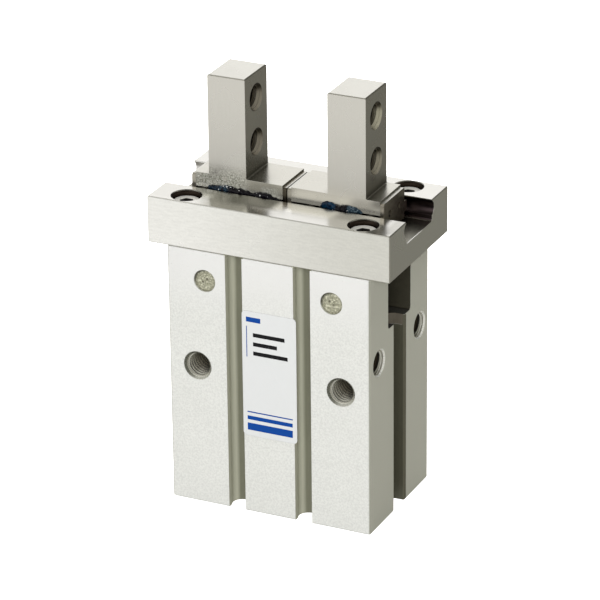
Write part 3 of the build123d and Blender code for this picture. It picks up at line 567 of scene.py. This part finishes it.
def thread_finish(
    name, colour, deep, reach, shine, first_crest, centre, axis, mouth, other_mouth=None, painted_light=None
):
    """Cut threads, bright at the mouth and painted darker further in as shade, with painted shade in
    the roots and a painted highlight on the first crest.

    The mouths are distances from the middle along the axis, centre gives the two offsets from the
    hole's line, and the last argument gives a side of the hole painted lighter, as light falling in,
    and its colour.
    """
    f = Finish(name)
    grain = f.noise(3.0, 3, 0.6)
    along = f.offset({"x": f.x, "y": f.y, "z": f.z}[axis])
    depth = f.math("ABSOLUTE", f.math("SUBTRACT", mouth, along))
    if other_mouth is not None:
        depth = f.math("MINIMUM", depth, f.math("ABSOLUTE", f.math("SUBTRACT", other_mouth, along)))
    # Painted shade: darker further into the hole.
    shade = f.mix(f.ramp(depth, 0.9, reach), colour, deep)
    # Painted shade: dark in the roots.
    root = f.ramp(f.distance(*centre(f)), 2.18, 2.42)
    root = f.product(root, f.ramp(depth, first_crest, first_crest + 0.2))
    shade = f.mix(f.product(root, 0.85), shade, (0.02, 0.018, 0.012))
    # Painted highlight: a bright ring on the first crest.
    shade = f.mix(f.product(f.near(depth, first_crest, 0.07, 0.05), shine), shade, (0.95, 0.95, 0.9))
    metal = 0.85
    # Painted light: one side of the hole is painted lighter and less metallic.
    if painted_light:
        side, lit_colour = painted_light(f)
        side = f.product(side, f.ramp(depth, 2.0, 0.8))
        shade = f.mix(f.product(side, 0.85), shade, lit_colour)
        metal = f.ramp(side, 0, 1, 0.85, 0.2)
    f.set(Base_Color=f.tint(shade, grain, 0.1), Metallic=metal, Roughness=0.27)
    f.set(Normal=f.bump(grain, 0.006))
    return f.material


def soft_finish(name, colour, roughness, grain, depth):
    """Rubber, urethane or bonded magnet: matt, with a fine moulded skin."""
    f = Finish(name)
    skin = f.noise(grain, 4, 0.65)
    f.set(Base_Color=f.tint(colour, skin, 0.2), Metallic=0.0)
    f.set(Roughness=f.ramp(skin, 0.2, 0.8, roughness, roughness + 0.15))
    f.set(Normal=f.bump(skin, depth))
    return f.material


def film_finish():
    """The label's film: cool white, slightly glossy, not quite flat."""
    f = Finish("label_film")
    mottle = f.noise(1.6, 3, 0.6)
    waves = f.noise(0.12, 2)
    film = f.tint((0.605, 0.615, 0.618), mottle, 0.015)
    # Painted shade: a thin grey line round the film's edges.
    film = f.mix(f.product(f.edge_mask(0.1), 0.6), film, (0.3, 0.3, 0.29))
    f.set(Base_Color=film, Metallic=0.0, Roughness=0.32)
    f.set(Coat_Weight=0.25, Coat_Roughness=0.18)
    f.set(Normal=f.bump(f.math("MULTIPLY_ADD", mottle, 0.08, waves), 0.05, f.soft_edges(0.05)))
    return f.material


def ink_finish(name, colour):
    """Printed ink, with a slightly broken surface."""
    f = Finish(name)
    grain = f.noise(7.0, 2, 0.6)
    f.set(Base_Color=f.tint(colour, grain, 0.12), Metallic=0.0, Roughness=0.4, Specular_IOR_Level=0.12)
    f.set(Normal=f.bump(grain, 0.002))
    return f.material


def grease_finish():
    """Wet grease: black where it is thick, blue where it is thin, speckled at its right end, with
    painted white glints.
    """
    f = Finish("grease")
    streaks = f.noise(0.9, 4, 0.65, None, 0.6)
    fine = f.noise(3.0, 3, 0.7)
    thin = f.ramp(streaks, 0.38, 0.62)
    black = (0.003, 0.0025, 0.004)
    left_end = f.ramp(f.x, -11.2, -12.8)
    colour = f.mix(f.product(left_end, thin), black, (0.006, 0.022, 0.04))
    leaf = f.near(f.x, 8.3, 1.9, 0.3)
    colour = f.mix(leaf, colour, f.mix(thin, (0.002, 0.006, 0.016), (0.002, 0.02, 0.045)))
    film = f.product(f.ramp(f.x, 12.3, 12.9), f.ramp(fine, 0.5, 0.6))
    colour = f.mix(f.ramp(f.x, 12.3, 12.9), colour, (0.006, 0.016, 0.026))
    colour = f.mix(film, colour, (0.09, 0.125, 0.15))
    # Painted highlights: white glints on the crest of the left ribbon, and sparse ones all over.
    crest = f.product(f.near(f.x, -13.0, 1.6, 0.3), f.ramp(f.z, guide_top + 0.45, guide_top + 0.6))
    sparse = f.ramp(f.noise(2.4, 1), 0.72, 0.76)
    glint_specks = f.math("MAXIMUM", f.product(crest, f.ramp(fine, 0.52, 0.6)), sparse)
    colour = f.mix(f.product(glint_specks, 0.8), colour, (0.75, 0.76, 0.74))
    f.set(Base_Color=colour, Metallic=0.0, Roughness=0.12, Specular_IOR_Level=0.18)
    f.set(Normal=f.bump(f.math("MULTIPLY_ADD", fine, 0.4, streaks), 0.12))
    return f.material


finishes = {
    "anodised": anodised_finish(),
    "cap_aluminium": steel_finish("turned_aluminium", (0.62, 0.61, 0.58), 0.3),
    "guide_steel": guide_finish(),
    "finger_steel": finger_finish(),
    "plate_steel": plate_finish(),
    "lever_steel": steel_finish("lever_steel", (0.2, 0.19, 0.175), 0.4),
    "bearing_steel": steel_finish("bearing_steel", (0.1, 0.09, 0.075), 0.3, 1.0, 0.05, 0.001),
    "screw_steel": steel_finish("screw_steel", (0.22, 0.205, 0.17), 0.36, 3.0, 0.15),
    "spring_steel": steel_finish("spring_steel", (0.1, 0.1, 0.1), 0.42),
    "rubber": soft_finish("rubber", (0.02, 0.02, 0.02), 0.5, 6.0, 0.01),
    "urethane": soft_finish("urethane", (0.42, 0.29, 0.1), 0.35, 3.0, 0.01),
    "magnet": soft_finish("magnet", (0.045, 0.04, 0.038), 0.5, 5.0, 0.01),
    "label": film_finish(),
}
shaft_steel = shaft_finish()
own_finishes = {
    "lever_shaft_right": shaft_steel,
    "lever_shaft_left": shaft_steel,
    "guide_screws": screw_finish(),
}
bare_aluminium = (0.62, 0.61, 0.54)


def blade_hole_light(f):
    """The lower back side of a blade's hole, painted lighter as light falling in, and its colour."""
    side = f.ramp(f.math("SUBTRACT", f.y, from_blade_hole(f)[1]), 0.3, 2.6)
    return side, lit_hole_colour(f)


front_thread = thread_finish(
    "thread_front", bare_aluminium, (0.34, 0.31, 0.24), 6.0, 1.0, 0.83,
    lambda f: (f.offset(f.x, mounting_x), f.offset(f.z, mounting_height)), "y", -front_face,
)
end_thread = thread_finish(
    "thread_end", bare_aluminium, (0.07, 0.055, 0.035), 1.6, 1.0, 0.68,
    lambda f: (f.offset(f.y, port_y), f.offset(f.z, port_height)), "x", end_face,
)
base_thread = thread_finish(
    "thread_base", bare_aluminium, (0.34, 0.31, 0.24), 6.0, 1.0, 0.83,
    lambda f: (f.offset(f.x, base_hole_x), f.offset(f.y, base_hole_y)), "z", 0.0,
)
blade_thread = thread_finish(
    "thread_blade", (0.12, 0.105, 0.075), (0.04, 0.03, 0.02), 2.2, 0.0, 0.3,
    lambda f: (f.y, from_blade_hole(f)[0]), "x", blade_inner, blade_outer, blade_hole_light,
)
blue_ink = ink_finish("ink_blue", (0.003, 0.05, 0.26))
dark_ink = ink_finish("ink_dark", (0.006, 0.006, 0.007))
grease = grease_finish()


def paint(obj, material):
    """Gives an object one material."""
    obj.data.materials.clear()
    obj.data.materials.append(material)


for row in frame["record"]["subparts"]:
    piece = nodes[row["node"]]
    paint(piece, own_finishes.get(row["node"], finishes[row["material_slot"]]))


# Added pieces


def add_piece(name, mesh, material, body):
    """Makes an object of a mesh that rides on a body."""
    obj = bpy.data.objects.new(name, mesh)
    bpy.context.scene.collection.objects.link(obj)
    obj.data.materials.append(material)
    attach(obj, body)


def mesh_from(name, points, faces, smooth=False):
    """A mesh from points in millimetres."""
    mesh = bpy.data.meshes.new(name)
    mesh.from_pydata([Vector(p) * MM for p in points], [], faces)
    mesh.validate()
    work = bmesh.new()
    work.from_mesh(mesh)
    bmesh.ops.recalc_face_normals(work, faces=work.faces)
    work.to_mesh(mesh)
    work.free()
    for polygon in mesh.polygons:
        polygon.use_smooth = smooth
    return mesh


thread_pitch = 0.8
thread_root = 2.49
thread_crest = 2.12
thread_skin = 2.54
thread_segments = 48
rows_per_pitch = 10
thread_flat = 0.12  # the share of a half turn that the crest's flat takes
thread_flank = 0.72  # the share that the slope takes


def thread_radius(turns):
    """The radius of the cut at this many turns along it, with flat crests and roots."""
    wave = abs(2 * (turns % 1) - 1)
    wave = min(1, max(0, (wave - thread_flat) / thread_flank))
    return thread_crest + (thread_root - thread_crest) * wave


def thread_sleeve(mouth, inward, mouth_radius, length):
    """Points and faces of a threaded sleeve, from the foot of a hole's chamfer inwards."""
    axis = Vector(inward)
    side = axis.orthogonal().normalized()
    other = axis.cross(side)
    start = mouth_radius - thread_root - 0.005
    rows = round((length - start) / thread_pitch * rows_per_pitch)
    points = []
    rings = rows + 3  # the cut, then its skin outside from the far end back to the start
    for row in range(rings):
        depth = start + (length - start) * min(row, rows) / rows
        if row == rings - 1:
            depth = start
        for step in range(thread_segments):
            angle = 2 * math.pi * step / thread_segments
            turns = depth / thread_pitch - step / thread_segments
            radius = min(thread_root, max(thread_radius(turns), mouth_radius - depth))
            if row > rows:
                radius = thread_skin
            around = side * math.cos(angle) + other * math.sin(angle)
            points.append(Vector(mouth) + axis * depth + around * radius)
    faces = []
    for row in range(rings):
        for step in range(thread_segments):
            a = row * thread_segments + step
            b = row * thread_segments + (step + 1) % thread_segments
            c = (row + 1) % rings * thread_segments + (step + 1) % thread_segments
            d = (row + 1) % rings * thread_segments + step
            faces.append((a, b, c, d))
    return points, faces


def joined(shapes):
    """The points and faces of several shapes as one."""
    points = []
    faces = []
    for more_points, more_faces in shapes:
        faces += [tuple(i + len(points) for i in face) for face in more_faces]
        points += more_points
    return points, faces


def add_threads(name, holes, material, body):
    """One piece that lines several holes; each hole is mouth, inward, mouth radius, length."""
    points, faces = joined(thread_sleeve(*hole) for hole in holes)
    add_piece(name, mesh_from(name, points, faces, True), material, body)


mounting_depth = 8.0
port_depth = 5.0
base_depth = 7.0
half_blade = (blade_outer - blade_inner) / 2
for word, sign in (("front", 1), ("back", -1)):
    add_threads(
        "mounting_threads_" + word,
        [((x, front_face * sign, mounting_height), (0, sign, 0), mounting_mouth, mounting_depth - 0.03)
         for x in (-mounting_x, mounting_x)],
        front_thread, "housing",
    )
add_threads(
    "port_threads",
    [((end_face, y, port_height), (-1, 0, 0), port_mouth, port_depth - 0.02)
     for y in (-port_y, port_y)],
    end_thread, "housing",
)
add_threads(
    "underside_threads",
    [((sign * base_hole_x, sign * base_hole_y, 0), (0, 0, 1), mounting_mouth, base_depth - 0.03)
     for sign in (-1, 1)],
    base_thread, "housing",
)
for word, sign in (("right", 1), ("left", -1)):
    for side, mouth_x, inward in (("outer", blade_outer, -1), ("inner", blade_inner, 1)):
        add_threads(
            "finger_threads_" + word + "_" + side,
            [((sign * mouth_x, 0, z), (sign * inward, 0, 0), finger_mouth, half_blade)
             for z in finger_hole_heights],
            blade_thread, word + "_finger",
        )


# Label print: plain bars and a line, in a layout of its own


def print_patch(left, bottom, width, height):
    """A very thin plate on the label; places are from the label's lower left corner."""
    thickness = 0.012
    x0 = label_low.x + left
    z0 = label_low.z + bottom
    y0 = label_low.y - thickness
    corners = [(x0, z0), (x0 + width, z0), (x0 + width, z0 + height), (x0, z0 + height)]
    points = [(x, y, z) for y in (y0, label_low.y) for x, z in corners]
    faces = [(0, 1, 2, 3), (4, 7, 6, 5), (0, 4, 5, 1), (1, 5, 6, 2), (2, 6, 7, 3), (3, 7, 4, 0)]
    return points, faces


def add_print(name, patches, material):
    """One piece of print from several patches."""
    points, faces = joined(print_patch(*patch) for patch in patches)
    add_piece(name, mesh_from(name, points, faces), material, "housing")


label_width = label_high.x - label_low.x
label_height = label_high.z - label_low.z
margin = 0.9
add_print(
    "label_print_blue",
    [
        (margin, 1.2, label_width - 2 * margin, 1.5),
        (margin, 3.4, label_width - 2 * margin, 0.8),
        (margin, 4.9, label_width - 2 * margin, 0.25),
        (margin, label_height - 2.2, 3.0, 1.0),
        (margin, label_height - 9.5, 0.16, 6.4),
    ],
    blue_ink,
)
add_print(
    "label_print_dark",
    [(margin + 1.4, label_height - 5.2 - 1.9 * row, width, 0.8)
     for row, width in enumerate((6.6, 5.0, 7.2))],
    dark_ink,
)


# Grease


def between(table, x, column):
    """A column of a table of rows, followed smoothly at x."""
    for first, second in zip(table, table[1:]):
        if x <= second[0]:
            share = (x - first[0]) / (second[0] - first[0])
            share = share * share * (3 - 2 * share)
            return first[column] + (second[column] - first[column]) * share
    return table[-1][column]


def grease_ribbon(name, table, body):
    """Grease pressed out along a finger's base.

    Each row is x, top, bottom and thickness, with the heights counted from the guide's top.
    """
    step = 0.12
    around = 14
    buried = 0.06
    furthest_out = 1.2
    count = round((table[-1][0] - table[0][0]) / step)
    points = []
    for number in range(count + 1):
        x = table[0][0] + (table[-1][0] - table[0][0]) * number / count
        top, bottom, thick = (between(table, x, column) for column in (1, 2, 3))
        lumps = noise.noise((x * 1.3, 0.3, 5.0)) + 0.6 * noise.noise((x * 3.1, 1.7, 2.0))
        top += 0.16 * lumps
        ends = min(1, number / 4 + 0.05, (count - number) / 4 + 0.05)
        middle = (top + bottom) / 2
        for turn in range(around):
            angle = 2 * math.pi * turn / around
            rise = (top - bottom) / 2 * math.cos(angle) * ends
            out = math.sin(angle)
            bulge = 1 + 0.5 * noise.noise((x * 1.6, angle * 0.9, 9.0))
            out = thick * out * bulge * ends if out > 0 else buried * out
            out = min(out, furthest_out)
            points.append((x, finger_low.y - out, guide_top + middle + rise))
    faces = []
    for number in range(count):
        for turn in range(around):
            a = number * around + turn
            b = number * around + (turn + 1) % around
            faces.append((a, b, b + around, a + around))
    faces.append(tuple(range(around)))
    faces.append(tuple(range(count * around, (count + 1) * around)))
    add_piece(name, mesh_from(name, points, faces, True), grease, body)


grease_ribbon(
    "grease_left",
    [
        (-16.7, 0.1, -0.5, 0.2), (-16.5, 0.32, -0.6, 0.4), (-15.3, 0.47, -0.7, 0.6),
        (-14.0, 0.67, -0.7, 0.8), (-12.7, 0.82, -0.7, 0.9), (-11.5, 0.86, -0.7, 0.9),
        (-10.6, 0.63, -0.7, 0.8), (-9.4, 0.67, -0.7, 0.9), (-8.3, 0.43, -0.7, 0.8),
        (-7.5, 0.24, -0.6, 0.6), (-6.0, 0.52, -0.7, 0.9), (-4.8, 0.73, -0.7, 1.0),
        (-3.7, 0.57, -0.7, 0.9), (-2.7, 0.05, -0.6, 0.6), (-1.2, -0.24, -0.6, 0.3),
    ],
    "left_finger",
)
grease_ribbon(
    "grease_right",
    [
        (6.8, 0.07, -0.3, 0.1), (7.45, 0.66, -0.5, 0.2), (8.07, 1.03, -0.6, 0.3),
        (8.9, 1.02, -0.7, 0.5), (9.7, 0.75, -0.7, 0.7), (10.5, 0.56, -0.7, 1.0),
        (11.35, 0.74, -0.7, 1.1), (12.2, 0.91, -0.7, 0.9), (13.0, 0.9, -0.6, 0.3),
        (14.2, 0.72, -0.5, 0.15), (15.0, 0.45, -0.5, 0.12), (15.6, 0.1, -0.4, 0.1),
    ],
    "right_finger",
)


# Floor, light and camera


def floor():
    """A plain pale floor, even white to the camera and darker to the light that it throws back."""
    bpy.ops.mesh.primitive_plane_add(size=8, location=(0, 0, -0.00005))
    obj = bpy.context.object
    obj.name = "floor"
    material = bpy.data.materials.new("floor_white")
    material.use_nodes = True
    tree = material.node_tree
    shader = tree.nodes["Principled BSDF"]
    path = tree.nodes.new("ShaderNodeLightPath")
    blend = tree.nodes.new("ShaderNodeMix")
    blend.data_type = "RGBA"
    blend.inputs[6].default_value = (0.42, 0.42, 0.41, 1)
    blend.inputs[7].default_value = (0.97, 0.97, 0.97, 1)
    tree.links.new(path.outputs["Is Camera Ray"], blend.inputs[0])
    tree.links.new(blend.outputs[2], shader.inputs["Base Color"])
    shader.inputs["Roughness"].default_value = 0.9
    shader.inputs["Emission Color"].default_value = (1, 1, 1, 1)
    tree.links.new(path.outputs["Is Camera Ray"], shader.inputs["Emission Strength"])
    obj.data.materials.append(material)
    obj.visible_glossy = False


def studio_world():
    """Even white to the camera; to the metal, bright from the front and above and dark on the right."""
    world = bpy.data.worlds.new("studio")
    bpy.context.scene.world = world
    world.use_nodes = True
    tree = world.node_tree
    background = tree.nodes["Background"]
    coordinates = tree.nodes.new("ShaderNodeTexCoord")
    path = tree.nodes.new("ShaderNodeLightPath")

    def facing(direction, low, high, amount):
        """An amount of light from one direction, fading out as the cosine falls from high to low."""
        dot = tree.nodes.new("ShaderNodeVectorMath")
        dot.operation = "DOT_PRODUCT"
        tree.links.new(coordinates.outputs["Generated"], dot.inputs[0])
        dot.inputs[1].default_value = Vector(direction).normalized()
        ramp = tree.nodes.new("ShaderNodeMapRange")
        ramp.interpolation_type = "SMOOTHSTEP"
        ramp.inputs["From Min"].default_value = low
        ramp.inputs["From Max"].default_value = high
        ramp.inputs["To Max"].default_value = amount
        tree.links.new(dot.outputs["Value"], ramp.inputs["Value"])
        return ramp.outputs[0]

    base_level = tree.nodes.new("ShaderNodeValue")
    base_level.outputs[0].default_value = 0.32
    level = base_level.outputs[0]
    for direction, low, high, amount in (
        ((-0.4, -0.85, 0.0), 0.55, 0.88, 0.68),
        ((-0.7, 0.6, 0.45), 0.6, 0.9, 1.04),
        ((0.6, 0.78, 0.0), 0.5, 0.85, -0.12),
        ((0.39, 0.83, 0.4), 0.8, 0.97, -0.08),
        ((-0.39, -0.83, 0.55), 0.82, 0.97, 0.42),
    ):
        total = tree.nodes.new("ShaderNodeMath")
        total.operation = "ADD"
        tree.links.new(level, total.inputs[0])
        tree.links.new(facing(direction, low, high, amount), total.inputs[1])
        level = total.outputs[0]
    white = tree.nodes.new("ShaderNodeMix")
    tree.links.new(path.outputs["Is Camera Ray"], white.inputs[0])
    tree.links.new(level, white.inputs[2])
    white.inputs[3].default_value = 1.0
    warmth = tree.nodes.new("ShaderNodeMix")
    warmth.data_type = "RGBA"
    tree.links.new(level, warmth.inputs[0])
    warmth.inputs[6].default_value = (1, 0.975, 0.82, 1)
    warmth.inputs[7].default_value = (1, 0.995, 0.98, 1)
    tree.links.new(warmth.outputs[2], background.inputs["Color"])
    tree.links.new(white.outputs[0], background.inputs["Strength"])


def softbox(name, place, aim, size, power):
    """A square area light in metres that looks at a point."""
    data = bpy.data.lights.new(name, "AREA")
    data.shape = "SQUARE"
    data.size = size
    data.energy = power
    obj = bpy.data.objects.new(name, data)
    bpy.context.scene.collection.objects.link(obj)
    obj.location = place
    direction = Vector(aim) - Vector(place)
    obj.rotation_euler = direction.to_track_quat("-Z", "Y").to_euler()
    obj.visible_glossy = False


def photo_camera():
    """The camera that was fitted to the photograph."""
    azimuth = math.radians(25.33)
    elevation = math.radians(23.773)
    roll = math.radians(-0.636)
    distance = 704.98
    target = Vector((0.226, 0, 39.701))
    focal_pixels = 3688.15
    frame_pixels = 600
    sensor = 36.0
    right = Vector((math.cos(azimuth), math.sin(azimuth), 0))
    level_back = Vector((math.sin(azimuth), -math.cos(azimuth), 0))
    back = level_back * math.cos(elevation) + Vector((0, 0, math.sin(elevation)))
    up = back.cross(right)
    rolled_right = right * math.cos(roll) + up * math.sin(roll)
    rolled_up = up * math.cos(roll) - right * math.sin(roll)
    data = bpy.data.cameras.new("photo_camera")
    data.sensor_width = sensor
    data.lens = focal_pixels * sensor / frame_pixels
    data.clip_start = 0.01
    data.clip_end = 20
    camera = bpy.data.objects.new("photo_camera", data)
    bpy.context.scene.collection.objects.link(camera)
    turn = Matrix((rolled_right, rolled_up, back)).transposed().to_4x4()
    camera.matrix_world = Matrix.Translation((target + back * distance) * MM) @ turn
    bpy.context.scene.camera = camera


floor()
studio_world()
softbox("key", (0.42, -0.85, 0.42), (0, 0, 0.04), 0.5, 8.0)
softbox("top", (0.05, 0.1, 0.9), (0, 0, 0.05), 0.6, 5.0)
softbox("back", (-0.5, 0.85, 0.4), (0, 0, 0.04), 0.6, 5.0)
photo_camera()
bpy.context.scene.view_settings.view_transform = "Standard"
